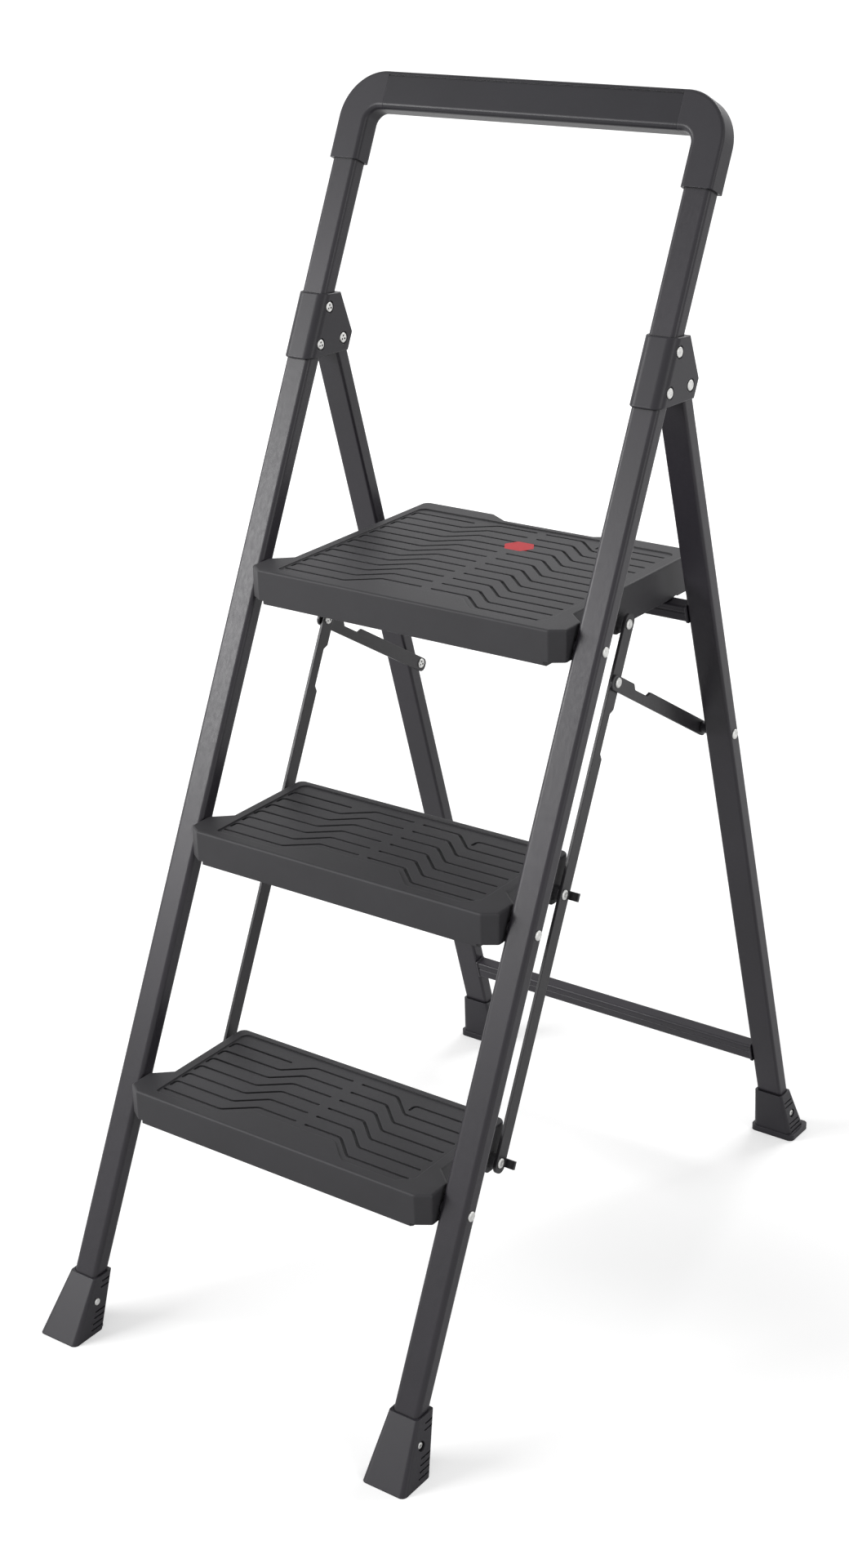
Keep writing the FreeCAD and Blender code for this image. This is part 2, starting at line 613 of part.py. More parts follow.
def knuckle():
    """The moulded bracket that clasps the rail and carries the top of the rear leg in a slot."""
    inner = rail_inner - size.knuckle_wall
    outer = rail_outer + size.knuckle_wall
    up, back = size.knuckle_pivot_up, size.knuckle_pivot_back
    front = size.knuckle_front
    rear = back + size.knuckle_reach
    body = new_body("knuckle_right")
    side = new_sketch(body, "knuckle_side", "YZ_Plane", inner)
    add_outline(side, [(-front, up - size.knuckle_low),
                       (rear, up - size.knuckle_heel),
                       (rear, up + size.knuckle_shoulder),
                       (front, up + size.knuckle_peak),
                       (-front, up + size.knuckle_high)])
    pad(body, side, outer - inner)
    ahead = size.knuckle_corner.value - front.value

    def is_front_corner(edge):
        box = edge.BoundBox
        return box.XLength < 1e-6 and box.YMax < 1e-6 - front.value

    def is_side_edge(edge):
        box = edge.BoundBox
        return box.XLength < 1e-6 and box.YMax > ahead + 1e-6

    fillet(body, "knuckle_front_corners", size.knuckle_corner, is_front_corner)
    fillet(body, "knuckle_edges", size.knuckle_round, is_side_edge)
    half_width = size.rail_width / 2 + size.seat_fit
    half_depth = size.rail_depth / 2 + size.seat_fit
    channel = new_sketch(body, "knuckle_channel", "XY_Plane", up - 2 * size.knuckle_low)
    add_outline(channel, box_corners(size.rail_centre - half_width, -half_depth,
                                     size.rail_centre + half_width, half_depth, size.rail_corner))
    pocket(body, channel, 2 * size.knuckle_low + 2 * size.knuckle_peak, reverse=True)
    slope = (size.knuckle_peak - size.knuckle_shoulder) / (rear - front)
    far = back + 2 * size.knuckle_reach
    roof = up + size.knuckle_peak - size.knuckle_roof
    slot = new_sketch(body, "knuckle_slot", "YZ_Plane", leg_inner - size.leg_play)
    add_outline(slot, [(size.knuckle_web, up - 2 * size.knuckle_low),
                       (far, up - 2 * size.knuckle_low),
                       (far, roof - (far - front) * slope),
                       (size.knuckle_web, roof - (size.knuckle_web - front) * slope)])
    pocket(body, slot, size.leg_width + 2 * size.leg_play, reverse=True)
    holes = new_sketch(body, "knuckle_holes", "YZ_Plane", inner)
    recesses = {"inner": (inner, True), "outer": (outer, False)}
    for side_name, (place, inwards) in recesses.items():
        recess = new_sketch(body, f"knuckle_recess_{side_name}", "YZ_Plane", place)
        for bolt_up in knuckle_bolts_up():
            add_circle(recess, 0.0, bolt_up, size.rivet_head + size.head_ring)
        add_circle(recess, back, up, size.bolt_head + size.head_ring)
        pocket(body, recess, size.head_sink, reverse=inwards)
    for bolt_up in knuckle_bolts_up():
        add_circle(holes, 0.0, bolt_up, rivet_hole)
    add_circle(holes, back, up, bolt_hole)
    pocket(body, holes, outer - inner, reverse=True)
    return add_node(body, rail_frame)


def elbow():
    """The moulded corner between the rail and the grip."""
    inner = rail_inner - size.elbow_wall
    outer = rail_outer + size.elbow_wall
    half_depth = size.grip_depth / 2
    body = new_body("handle_elbow_right")
    side = new_sketch(body, "elbow_side", "XZ_Plane", -half_depth)
    add_outline(side, [(inner, size.elbow_low), (outer, size.elbow_low),
                       (outer, size.grip_high, size.elbow_bend), (grip_half, size.grip_high),
                       (grip_half, size.grip_low),
                       (inner, size.grip_low, size.elbow_inner_bend)])
    pad(body, side, size.grip_depth)
    low, mouth = size.elbow_low.value, grip_half.value

    def is_outline_edge(edge):
        box = edge.BoundBox
        flat = box.YLength < 1e-6 and abs(abs(box.YMin) - half_depth.value) < 1e-6
        return flat and box.ZMax > low + 1e-6 and box.XMax > mouth + 1e-6

    def is_inner_edge(edge):
        box = edge.BoundBox
        under = box.XMax < inner.value + 1e-6 and box.ZMax < size.grip_low.value + 1e-6
        return under and is_outline_edge(edge)

    def is_outer_edge(edge):
        box = edge.BoundBox
        over = box.XMax > outer.value - 1e-6 or box.ZMax > size.grip_high.value - 1e-6
        return over and is_outline_edge(edge)

    fillet(body, "elbow_inner_edges", size.grip_under_round, is_inner_edge)
    fillet(body, "elbow_outer_edges", size.grip_top_round, is_outer_edge)
    half_width = size.rail_width / 2 + size.seat_fit
    socket_depth = size.rail_depth / 2 + size.seat_fit
    socket = new_sketch(body, "elbow_socket", "XY_Plane", size.elbow_low)
    add_outline(socket, box_corners(size.rail_centre - half_width, -socket_depth,
                                    size.rail_centre + half_width, socket_depth, size.rail_corner))
    pocket(body, socket, size.rail_end - size.elbow_low, reverse=True)
    bore = new_sketch(body, "elbow_bore", "YZ_Plane", grip_half)
    add_circle(bore, 0.0, tube_up(), size.tube_radius + size.seat_fit)
    pocket(body, bore, size.tube_seat, reverse=True)
    return add_node(body, rail_frame)


def tube_up():
    """Height of the cross tube along the rail: the middle of the grip."""
    return (size.grip_low + size.grip_high) / 2


def grip():
    half_depth = size.grip_depth / 2
    line_high = size.grip_high - size.grip_line
    line_low = line_high - size.line_width
    body = new_body("handle_grip")
    section = new_sketch(body, "grip_section", "YZ_Plane", -grip_half)
    add_outline(section, [(-half_depth, size.grip_low, size.grip_under_round),
                          (half_depth, size.grip_low, size.grip_under_round),
                          (half_depth, size.grip_high, size.grip_top_round),
                          (-half_depth, size.grip_high, size.grip_top_round),
                          (-half_depth, line_high),
                          (size.line_depth - half_depth, line_high),
                          (size.line_depth - half_depth, line_low),
                          (-half_depth, line_low)])
    add_circle(section, 0.0, tube_up(), size.tube_radius + size.seat_fit)
    pad(body, section, 2 * grip_half)
    return add_node(body, rail_frame)


def cross_tube():
    half_length = grip_half + size.tube_seat
    body = new_body("handle_tube")
    section = new_sketch(body, "tube_section", "YZ_Plane", -half_length)
    add_circle(section, 0.0, tube_up(), size.tube_radius)
    add_circle(section, 0.0, tube_up(), size.tube_radius - size.tube_wall)
    pad(body, section, 2 * half_length)
    return add_node(body, rail_frame)


def rail_rivets():
    shape = fastener(wing_inner, rail_outer, size.rivet_radius, size.rivet_head, size.rivet_head)
    points = [(as_size(0.0), up) for up in pivots_up]
    return add_group("rail_rivets", both_sides(at_points(shape, rail_frame, points)))


def rail_washers():
    shape = ring(wing_outer + size.side_play, rail_inner, rivet_hole, size.washer_radius)
    points = [(as_size(0.0), up) for up in pivots_up]
    return add_group("rail_washers", both_sides(at_points(shape, rail_frame, points)))


def knuckle_fasteners():
    inner = rail_inner - size.knuckle_wall + size.head_sink
    outer = rail_outer + size.knuckle_wall - size.head_sink
    rivet = fastener(inner, outer, size.rivet_radius, size.rivet_head, size.rivet_head)
    points = [(as_size(0.0), up) for up in knuckle_bolts_up()]
    add_group("knuckle_bolts", both_sides(at_points(rivet, rail_frame, points)))
    bolt = fastener(inner, outer, size.bolt_radius, size.bolt_head, size.bolt_head)
    points = [(size.knuckle_pivot_back, size.knuckle_pivot_up)]
    add_group("knuckle_pivot_bolts", both_sides(at_points(bolt, rail_frame, points)))


# ---------------------------------------------------------------- feet

def foot(name, sole, rim, height, tilt, tube, corner, start, screw, ribs, flange):
    """A moulded boot: its sole on the floor, its rim round the tube, with a socket for the tube.

    sole and rim are (low x, low y, high x, high y). tube is the tube's section, the same way in
    the tube's own frame, corner its rounding, start the place of its end, and screw the (y, z)
    of the fixing screw. ribs is where the side grooves start and end, as shares of the side.
    flange is the ledge at the floor: its outline's corners and its height.
    """
    body = new_body(name)
    bottom = new_sketch(body, f"{name}_sole", "XY_Plane")
    add_outline(bottom, box_corners(*sole, size.foot_sole_round))
    top = new_sketch(body, f"{name}_rim", "XY_Plane", height)
    add_outline(top, box_corners(*rim, size.foot_rim_round))
    boot = body.newObject("PartDesign::AdditiveLoft", f"{name}_boot")
    boot.Profile = bottom
    boot.Sections = [top]
    ledge = new_sketch(body, f"{name}_ledge", "XY_Plane")
    add_outline(ledge, flange[0])
    pad(body, ledge, flange[1])
    socket = new_sketch(body, f"{name}_socket", "XY_Plane", start * cosine(tilt), tilt,
                        -start * sine(tilt))
    fit = size.seat_fit
    add_outline(socket, box_corners(tube[0] - fit, tube[1] - fit, tube[2] + fit, tube[3] + fit,
                                    corner))
    pocket(body, socket, 2 * height, reverse=True)
    low_ends = [sole[1] + (sole[3] - sole[1]) * share for share in ribs]
    high_ends = [rim[1] + (rim[3] - rim[1]) * share for share in ribs]
    for side_name, low_x, high_x in (("outer", sole[2], rim[2]), ("inner", sole[0], rim[0])):
        cut_foot_grooves(body, f"{name}_{side_name}", (low_x, *low_ends), (high_x, *high_ends),
                         height, screw[1])
    seats = {"outer": (tube[2] + size.foot_screw_seat, True),
             "inner": (tube[0] - size.foot_screw_seat, False)}
    for side_name, (place, outwards) in seats.items():
        seat = new_sketch(body, f"{name}_seat_{side_name}", "YZ_Plane", place)
        add_circle(seat, screw[0], screw[1], size.foot_screw_head + size.head_ring)
        pocket(body, seat, sole[2] - sole[0], reverse=outwards)
    hole = new_sketch(body, f"{name}_screw_hole", "YZ_Plane", sole[0])
    add_circle(hole, screw[0], screw[1], screw_hole)
    pocket(body, hole, sole[2] - sole[0], reverse=True)
    return body


def cut_foot_grooves(body, name, low, high, height, middle):
    """Level grooves across one side of the boot, above and below the screw.

    low is the side's x, and the grooves' front and rear y, at the floor; high is the same at the
    rim. middle is the screw's height.
    """
    face = new_sketch(body, f"{name}_grooves", "YZ_Plane", low[0], angle_of(high[0] - low[0], height))
    for step in FOOT_RIB_STEPS:
        level = middle + step * size.foot_rib_pitch
        share = level / height
        front, rear = (start + (end - start) * share for start, end in zip(low[1:], high[1:]))
        add_outline(face, box_corners(front, level, rear, level + size.foot_rib_width))
    pocket(body, face, size.foot_rib_depth, reverse=high[0].value > low[0].value)


def front_foot():
    centre = size.rail_centre
    half_width = size.rail_width / 2
    half_depth = size.rail_depth / 2
    sole = (centre - size.foot_inside, -size.foot_toe, centre + size.foot_outside, size.foot_heel)
    rim_centre = size.foot_height * sine(size.lean) / cosine(size.lean)
    rim_half = (half_depth + size.foot_rim) / cosine(size.lean)
    rim = (rail_inner - size.foot_rim, rim_centre - rim_half,
           rail_outer + size.foot_rim, rim_centre + rim_half)
    tube = (centre - half_width, -half_depth, centre + half_width, half_depth)
    screw = from_rail(size.foot_screw_up, -size.foot_screw_front)
    inset = size.foot_corner
    heel = box_corners(sole[0] + inset, sole[3] - 2 * size.foot_sole_round, sole[2] - inset,
                       sole[3] + size.foot_flange, size.foot_corner)
    body = foot("front_foot_right", sole, rim, size.foot_height, -size.lean, tube,
                size.rail_corner, size.rail_start, screw,
                FRONT_FOOT_RIBS, (heel, size.foot_flange_height))
    return add_node(body, world_frame)


def rear_foot():
    centre = size.rail_centre
    ledge = size.rear_foot_base
    sole = (centre - size.rear_foot_inside + ledge, ledge - size.rear_foot_toe,
            centre + size.rear_foot_outside - ledge, size.rear_foot_heel - ledge)
    rim_up = size.rear_foot_height / cosine(leg_lean)
    rim_centre = leg_middle / cosine(leg_lean) - rim_up * sine(leg_lean)
    rim_half = (size.leg_depth / 2 + size.foot_rim) / cosine(leg_lean)
    rim = (leg_inner - size.foot_rim, rim_centre - rim_half,
           leg_outer + size.foot_rim, rim_centre + rim_half)
    tube = (leg_inner, size.leg_back - size.leg_depth, leg_outer, size.leg_back)
    screw_world = from_leg(size.rear_screw_up, -size.rear_screw_front)
    screw = (screw_world[0] - size.foot_back, screw_world[1])
    base = box_corners(sole[0] - ledge, sole[1] - ledge, sole[2] + ledge, sole[3] + ledge,
                       size.foot_sole_round)
    body = foot("rear_foot_right", sole, rim, size.rear_foot_height, leg_lean, tube,
                size.leg_corner, size.leg_start, screw,
                REAR_FOOT_RIBS, (base, size.rear_foot_base_height))
    return add_node(body, frame_at(size.foot_back, 0.0))


def foot_screws():
    front = fastener(rail_inner - size.foot_screw_seat, rail_outer + size.foot_screw_seat,
                     size.foot_screw_radius, size.foot_screw_head, size.foot_screw_head)
    front_point = [(-size.foot_screw_front, size.foot_screw_up)]
    add_group("front_foot_screws", both_sides(at_points(front, rail_frame, front_point)))
    rear = fastener(leg_inner - size.foot_screw_seat, leg_outer + size.foot_screw_seat,
                    size.foot_screw_radius, size.foot_screw_head, size.foot_screw_head)
    rear_point = [(-size.rear_screw_front, size.rear_screw_up)]
    add_group("rear_foot_screws", both_sides(at_points(rear, leg_frame, rear_point)))


# ---------------------------------------------------------------- rear frame

def rear_leg():
    front = size.leg_back - size.leg_depth
    wall = size.leg_wall
    body = new_body("rear_leg_right")
    section = new_sketch(body, "leg_section", "XY_Plane", size.leg_start)
    add_outline(section, box_corners(leg_inner, front, leg_outer, size.leg_back, size.leg_corner))
    add_outline(section, box_corners(leg_inner + wall, front + wall, leg_outer - wall,
                                     size.leg_back - wall, size.leg_corner - wall))
    pad(body, section, leg_length + size.leg_over - size.leg_start)
    holes = new_sketch(body, "leg_holes", "YZ_Plane")
    add_circle(holes, 0.0, leg_length, bolt_hole)
    add_circle(holes, leg_middle, leg_length - size.brace_low, bolt_hole)
    add_circle(holes, -size.rear_screw_front, size.rear_screw_up, screw_hole)
    pocket(body, holes, leg_outer + wall, reverse=True)
    return add_node(body, leg_frame)


def crossbar(name, low, high):
    """A tube between the rear legs, with a flange at each end and a groove along its front."""
    front, back, corner = -size.crossbar_front, size.crossbar_back, size.crossbar_corner
    wall, lip = size.crossbar_wall, size.flange_lip
    groove_low = high - (high - low) * GROOVE_SHARE - size.crossbar_groove
    groove_high = groove_low + size.crossbar_groove
    groove_depth = wall / 2
    body = new_body(name)
    section = new_sketch(body, f"{name}_section", "YZ_Plane", -leg_inner)
    add_outline(section, [(front, low, corner), (back, low, corner), (back, high, corner),
                          (front, high, corner), (front, groove_high),
                          (front + groove_depth, groove_high - groove_depth),
                          (front + groove_depth, groove_low + groove_depth), (front, groove_low)])
    add_outline(section, box_corners(front + wall, low + wall, back - wall, high - wall))
    pad(body, section, 2 * leg_inner)
    for end_name, start in (("left", -leg_inner), ("right", leg_inner - size.flange_thick)):
        end = new_sketch(body, f"{name}_flange_{end_name}", "YZ_Plane", start)
        add_outline(end, box_corners(front - lip / 2, low - lip, back, high + lip, corner))
        pad(body, end, size.flange_thick)
    return add_node(body, leg_frame)


# ---------------------------------------------------------------- treads

def tread(name, rear, step, seat=False, recessed=False, insert=False):
    body = new_body(name)
    top = size.tread_top
    plan = new_sketch(body, f"{name}_plan", "XY_Plane", -size.side_skirt)
    add_outline(plan, tread_plan(rear, recessed))
    pad(body, plan, top + size.side_skirt)
    front, wall = -size.tread_front, size.skirt_wall
    lip = new_sketch(body, f"{name}_lip", "YZ_Plane", -wing_outer)
    add_outline(lip, [(front - wall, -size.side_skirt - wall), (front + size.lip_run, -size.side_skirt),
                      (front, -size.front_skirt), (front - wall, -size.front_skirt)])
    pocket(body, lip, 2 * wing_outer, reverse=True)
    round_top_edges(body, name, rear)
    shape_wings(body, name)
    inner_rear = (size.recess_rear if recessed else rear) - wall
    hollow_underside(body, name, front + wall, inner_rear, columns=4, rows=3 if recessed else 2)
    if seat:
        cut_crossbar_seat(body, name)
    panel_rear = inner_rear - size.panel_rim + wall
    sink_panel(body, name, panel_rear)
    if insert:
        recess = new_sketch(body, "insert_recess", "XY_Plane", top - size.panel_depth)
        add_outline(recess, insert_outline(size.seat_fit))
        pocket(body, recess, size.insert_thick)
    return add_node(grooved(body, name, panel_rear), tread_frames[step])


def tread_plan(rear, recessed):
    """Half of the tread's outline, walked from the front, and its mirror image."""
    front = -size.tread_front
    right = [(nose_end, front, size.foot_corner),
             (wing_outer, front + size.wing_chamfer, size.foot_corner),
             (wing_outer, size.wing_run, size.foot_corner),
             (tread_half, size.wing_back),
             (tread_half, rear, size.rear_corner)]
    if recessed:
        right += [(size.recess_mouth, rear, size.foot_corner),
                  (size.recess_half, size.recess_rear, size.foot_corner)]
    left = [(-corner[0],) + corner[1:] for corner in reversed(right)]
    return right + left


def round_top_edges(body, name, rear):
    top = size.tread_top.value

    def is_top_edge(edge):
        box = edge.BoundBox
        return box.ZLength < 1e-6 and abs(box.ZMin - top) < 1e-6

    fillet(body, f"{name}_top_round", size.top_round, is_top_edge)


def shape_wings(body, name):
    """Raise and hollow the wings, add the ears for the link rivets, and drill both."""
    far = size.wing_back + size.skirt_wall
    raised = new_sketch(body, f"{name}_wing_bottom", "XY_Plane", -size.side_skirt)
    add_outline(raised, box_corners(tread_half, -size.tread_front - size.skirt_wall,
                                    wing_outer + size.skirt_wall, far))
    raise_wing = pocket(body, raised, size.side_skirt - size.wing_skirt, reverse=True)
    hollow = new_sketch(body, f"{name}_wing_hollow", "XY_Plane", -size.side_skirt)
    inside = tread_half + size.rib_wall
    front = size.skirt_wall - size.tread_front
    add_outline(hollow, [(inside, front), (nose_end, front),
                         (wing_inner, front + size.wing_chamfer),
                         (wing_inner, size.wing_run - size.rib_wall),
                         (inside, size.wing_back - 2 * size.wing_wall)])
    hollow_wing = pocket(body, hollow, size.side_skirt + size.tread_top - size.tread_skin,
                         reverse=True)
    ear = new_sketch(body, f"{name}_ear", "YZ_Plane", tread_half - size.skirt_wall)
    ear_low = -size.link_drop - size.ear_drop
    add_outline(ear, [(size.link_back - size.ear_half, ear_low, size.rear_corner),
                      (size.link_back + size.ear_half, ear_low, size.rear_corner),
                      (size.link_back + size.ear_half, -size.link_drop),
                      (size.link_back - size.ear_half, -size.link_drop)])
    ear_plate = pad(body, ear, size.skirt_wall)
    boss = new_sketch(body, f"{name}_boss", "YZ_Plane", tread_half)
    add_circle(boss, size.link_back, -size.link_drop, size.boss_radius)
    boss_pad = pad(body, boss, size.boss_length)
    link_hole = new_sketch(body, f"{name}_link_hole", "YZ_Plane", tread_half - size.skirt_wall)
    add_circle(link_hole, size.link_back, -size.link_drop, rivet_hole)
    drill_link = pocket(body, link_hole, size.skirt_wall + size.boss_length, reverse=True)
    pivot_hole = new_sketch(body, f"{name}_pivot_hole", "YZ_Plane", wing_inner)
    add_circle(pivot_hole, 0.0, 0.0, rivet_hole)
    drill_pivot = pocket(body, pivot_hole, size.wing_wall, reverse=True)
    mirror_features(body, f"{name}_left_side",
                    [raise_wing, hollow_wing, ear_plate, boss_pad, drill_link, drill_pivot])


def hollow_underside(body, name, front, rear, columns, rows):
    """Cells under the walking surface, with ribs between them."""
    half = tread_half - size.skirt_wall
    cell_width = (2 * half - (columns - 1) * size.rib_wall) / columns
    cell_depth = (rear - front - (rows - 1) * size.rib_wall) / rows
    cells = new_sketch(body, f"{name}_cells", "XY_Plane", -size.side_skirt)
    for column in range(columns):
        for row in range(rows):
            low_x = column * (cell_width + size.rib_wall) - half
            low_y = front + row * (cell_depth + size.rib_wall)
            add_outline(cells, box_corners(low_x, low_y, low_x + cell_width, low_y + cell_depth))
    pocket(body, cells, size.side_skirt + size.tread_top - size.tread_skin, reverse=True)


def cut_crossbar_seat(body, name):
    """A sloping notch across the platform's skirts and ribs, which rest on the upper crossbar."""
    play = size.rest_play
    pivot_y = pivot_heights[2] * sine(size.lean) / cosine(size.lean)
    front_y, front_z = from_leg(high_bar_high + play, -size.crossbar_front - play)
    back_y, back_z = from_leg(high_bar_high + play, size.crossbar_back + play)
    base_y = from_leg(high_bar_high - size.high_bar_height, size.crossbar_back + play)[0]
    floor = -size.side_skirt - size.ear_drop
    seat = new_sketch(body, f"{name}_seat", "YZ_Plane", -tread_half)
    add_outline(seat, [(front_y - pivot_y, floor), (base_y - pivot_y, floor),
                       (base_y - pivot_y, back_z - pivot_heights[2]),
                       (back_y - pivot_y, back_z - pivot_heights[2]),
                       (front_y - pivot_y, front_z - pivot_heights[2])])
    pocket(body, seat, 2 * tread_half, reverse=True)


def sink_panel(body, name, rear):
    """The sunk panel that holds the grooves. Its front edge follows their wave."""
    front = size.groove_first - size.panel_lead
    waist = front + size.wave_height
    half, cut, bend = size.panel_half, size.panel_cut, size.wave_round
    panel = new_sketch(body, f"{name}_panel", "XY_Plane", size.tread_top)
    add_outline(panel, [(-half, front, size.top_round), (size.wave_left, front, bend),
                        (size.wave_left_top, waist, bend), (size.wave_right_top, waist, bend),
                        (size.wave_right, front, bend), (half - cut, front, size.top_round),
                        (half, front + cut, size.top_round), (half, rear, size.rear_corner),
                        (-half, rear, size.rear_corner)])
    pocket(body, panel, size.panel_depth)


def insert_outline(play):
    """A hexagon with points to the left and right."""
    x, y = size.insert_x, size.insert_y
    half, side, depth = size.insert_half + play, size.insert_side, size.insert_depth + play
    corners = [(x - half, y), (x - side, y - depth), (x + side, y - depth),
               (x + half, y), (x + side, y + depth), (x - side, y + depth)]
    return [corner + (size.insert_round,) for corner in corners]


def insert_piece():
    body = new_body("platform_insert")
    outline = new_sketch(body, "insert_outline", "XY_Plane",
                         size.tread_top - size.panel_depth - size.insert_thick)
    add_outline(outline, insert_outline(0.0))
    pad(body, outline, size.insert_thick)
    return add_node(body, tread_frames[2])


def rounded_path(points, radius):
    """An open wire through the points, its turns rounded."""
    edges = []
    start = points[0]
    for before, corner, after in zip(points, points[1:], points[2:]):
        back = (before - corner).normalize()
        ahead = (after - corner).normalize()
        half_angle = back.getAngle(ahead) / 2
        bend = min(radius, BEND_SHARE * min((before - corner).Length, (after - corner).Length)
                   * math.tan(half_angle))
        reach = bend / math.tan(half_angle)
        middle = corner + (back + ahead).normalize() * (bend / math.sin(half_angle) - bend)
        edges.append(Part.makeLine(start, corner + back * reach))
        edges.append(Part.Arc(corner + back * reach, middle, corner + ahead * reach).toShape())
        start = corner + ahead * reach
    edges.append(Part.makeLine(start, points[-1]))
    return Part.Wire(edges)


def groove_paths(last):
    """Both halves of each wave groove, from the front of the panel back to last.

    The grooves behind the last wave stop beside it.
    """
    left, right = size.groove_left.value, size.groove_right.value
    pitch, height = size.groove_pitch.value, size.wave_height.value
    level = size.groove_first.value
    paths = []
    while level < last - size.groove_width.value:
        hook = [] if not paths else [Vector(left, level - size.groove_hook.value, 0)]
        if level + height < last:
            paths.append(hook + [Vector(left, level, 0), Vector(size.wave_left.value, level, 0),
                                 Vector(size.wave_left_top.value, level + height, 0),
                                 Vector(size.gap_left.value, level + height, 0)])
            paths.append([Vector(size.gap_right.value, level + height, 0),
                          Vector(size.wave_right_top.value, level + height, 0),
                          Vector(size.wave_right.value, level, 0), Vector(right, level, 0)])
        else:
            paths.append(hook + [Vector(left, level, 0), Vector(size.wave_left.value, level, 0)])
            paths.append([Vector(size.wave_right.value, level - size.groove_hook.value, 0),
                          Vector(size.wave_right.value, level, 0), Vector(right, level, 0)])
        level += pitch
    return paths


def grooved(body, name, panel_rear):
    """The tread with its grooves cut."""
    floor = size.tread_top.value - size.panel_depth.value
    half_width = size.groove_width.value / 2
    depth = size.groove_depth.value
    strips = []
    for points in groove_paths((panel_rear - size.groove_width).value):
        path = rounded_path(points, size.wave_round.value)
        strip = Part.Face(path.makeOffset2D(half_width))
        strip.translate(Vector(0, 0, floor - depth))
        strips.append(strip.extrude(Vector(0, 0, 2 * depth)))
    cutter = doc.addObject("Part::Feature", f"{name}_grooves")
    cutter.Shape = Part.makeCompound(strips)
    cut = doc.addObject("Part::Cut", f"{name}_part")
    cut.Base = body
    cut.Tool = cutter
    body.Label = f"{name}_blank"
    cut.Label = name
    return cut


# ---------------------------------------------------------------- links and braces

def link_bar():
    front, back = link_behind - size.bar_front, link_behind + size.bar_back
    low, high = pivots_up[0] + link_up - size.bar_end, pivots_up[2] + link_up + size.bar_end
    notch_low, notch_high = brace_up - size.bar_notch_low, brace_up - size.bar_notch_high
    depth = size.bar_notch_depth
    bend = (size.bar_front + size.bar_back) * END_ROUND
    body = new_body("link_bar_right")
    side = new_sketch(body, "bar_side", "YZ_Plane", bar_inner)
    add_outline(side, [(front, low, bend), (back, low, bend), (back, notch_low),
                       (back - depth, notch_low + depth), (back - depth, notch_high - depth),
                       (back, notch_high), (back, high, bend), (front, high, bend)])
    for up in pivots_up:
        add_circle(side, link_behind, up + link_up, rivet_hole)
    add_circle(side, size.brace_back, brace_up, rivet_hole)
    pad(body, side, size.bar_thick)
    for step in (0, 1):
        tab_low = pivots_up[step] + link_up - size.tab_height / 2
        tab = new_sketch(body, f"bar_tab_{step + 1}", "XY_Plane", tab_low)
        rear = back + size.tab_proud
        tip = bar_outer + size.tab_reach
        add_outline(tab, [(bar_inner, back - size.tab_proud), (bar_outer, back - size.tab_proud),
                          (bar_outer, rear - size.tab_thick), (tip, rear - size.tab_thick),
                          (tip, rear), (bar_inner, rear)])
        pad(body, tab, size.tab_height)
    return add_node(body, rail_frame)


def link_rivets():
    """Rivets from the link bar into the treads' ears, and the bar's half of the brace rivet."""
    inside = tread_half - size.skirt_wall
    rivet = fastener(inside, bar_outer, size.rivet_radius, size.rivet_head, size.rivet_head)
    points = [(link_behind, up + link_up) for up in pivots_up]
    stub = fastener(-bar_outer, -bar_inner, size.rivet_radius, size.rivet_head)
    stub = stub.mirror(Vector(), Vector(1, 0, 0))
    stub_point = [(size.brace_back, brace_up)]
    return add_group("link_rivets_right", at_points(rivet, rail_frame, points)
                     + at_points(stub, rail_frame, stub_point))


def brace():
    low, high, end = -size.brace_under, size.brace_over, size.brace_end
    near, far, depth = size.brace_notch_start, size.brace_notch_end, size.brace_notch_depth
    bend = (size.brace_under + size.brace_over) * END_ROUND
    body = new_body("brace_right")
    side = new_sketch(body, "brace_side", "YZ_Plane", brace_inner)
    add_outline(side, [(-end, low, bend), (brace_length + end, low, bend),
                       (brace_length + end, high, bend), (far, high),
                       (far - depth, high - depth), (near + depth, high - depth), (near, high),
                       (-end, high, bend)])
    add_circle(side, 0.0, 0.0, rivet_hole)
    add_circle(side, brace_length, 0.0, bolt_hole)
    pad(body, side, size.brace_thick)
    return add_node(body, brace_frame)


def brace_fasteners():
    front = fastener(bar_outer + size.brace_gap / 2, brace_outer, size.rivet_radius, size.rivet_head)
    front_point = [(as_size(0.0), as_size(0.0))]
    front_rivet = add_group("brace_rivet_right", at_points(front, brace_frame, front_point))
    rear = fastener(brace_inner, leg_outer, size.bolt_radius, size.bolt_head, size.bolt_head)
    rear_point = [(leg_middle, leg_length - size.brace_low)]
    add_group("brace_rear_rivets", both_sides(at_points(rear, leg_frame, rear_point)))
    spacer = ring(brace_outer + size.side_play, leg_inner, bolt_hole, size.spacer_radius)
    add_group("brace_spacers", both_sides(at_points(spacer, leg_frame, rear_point)))
    return front_rivet


# ---------------------------------------------------------------- the whole stool

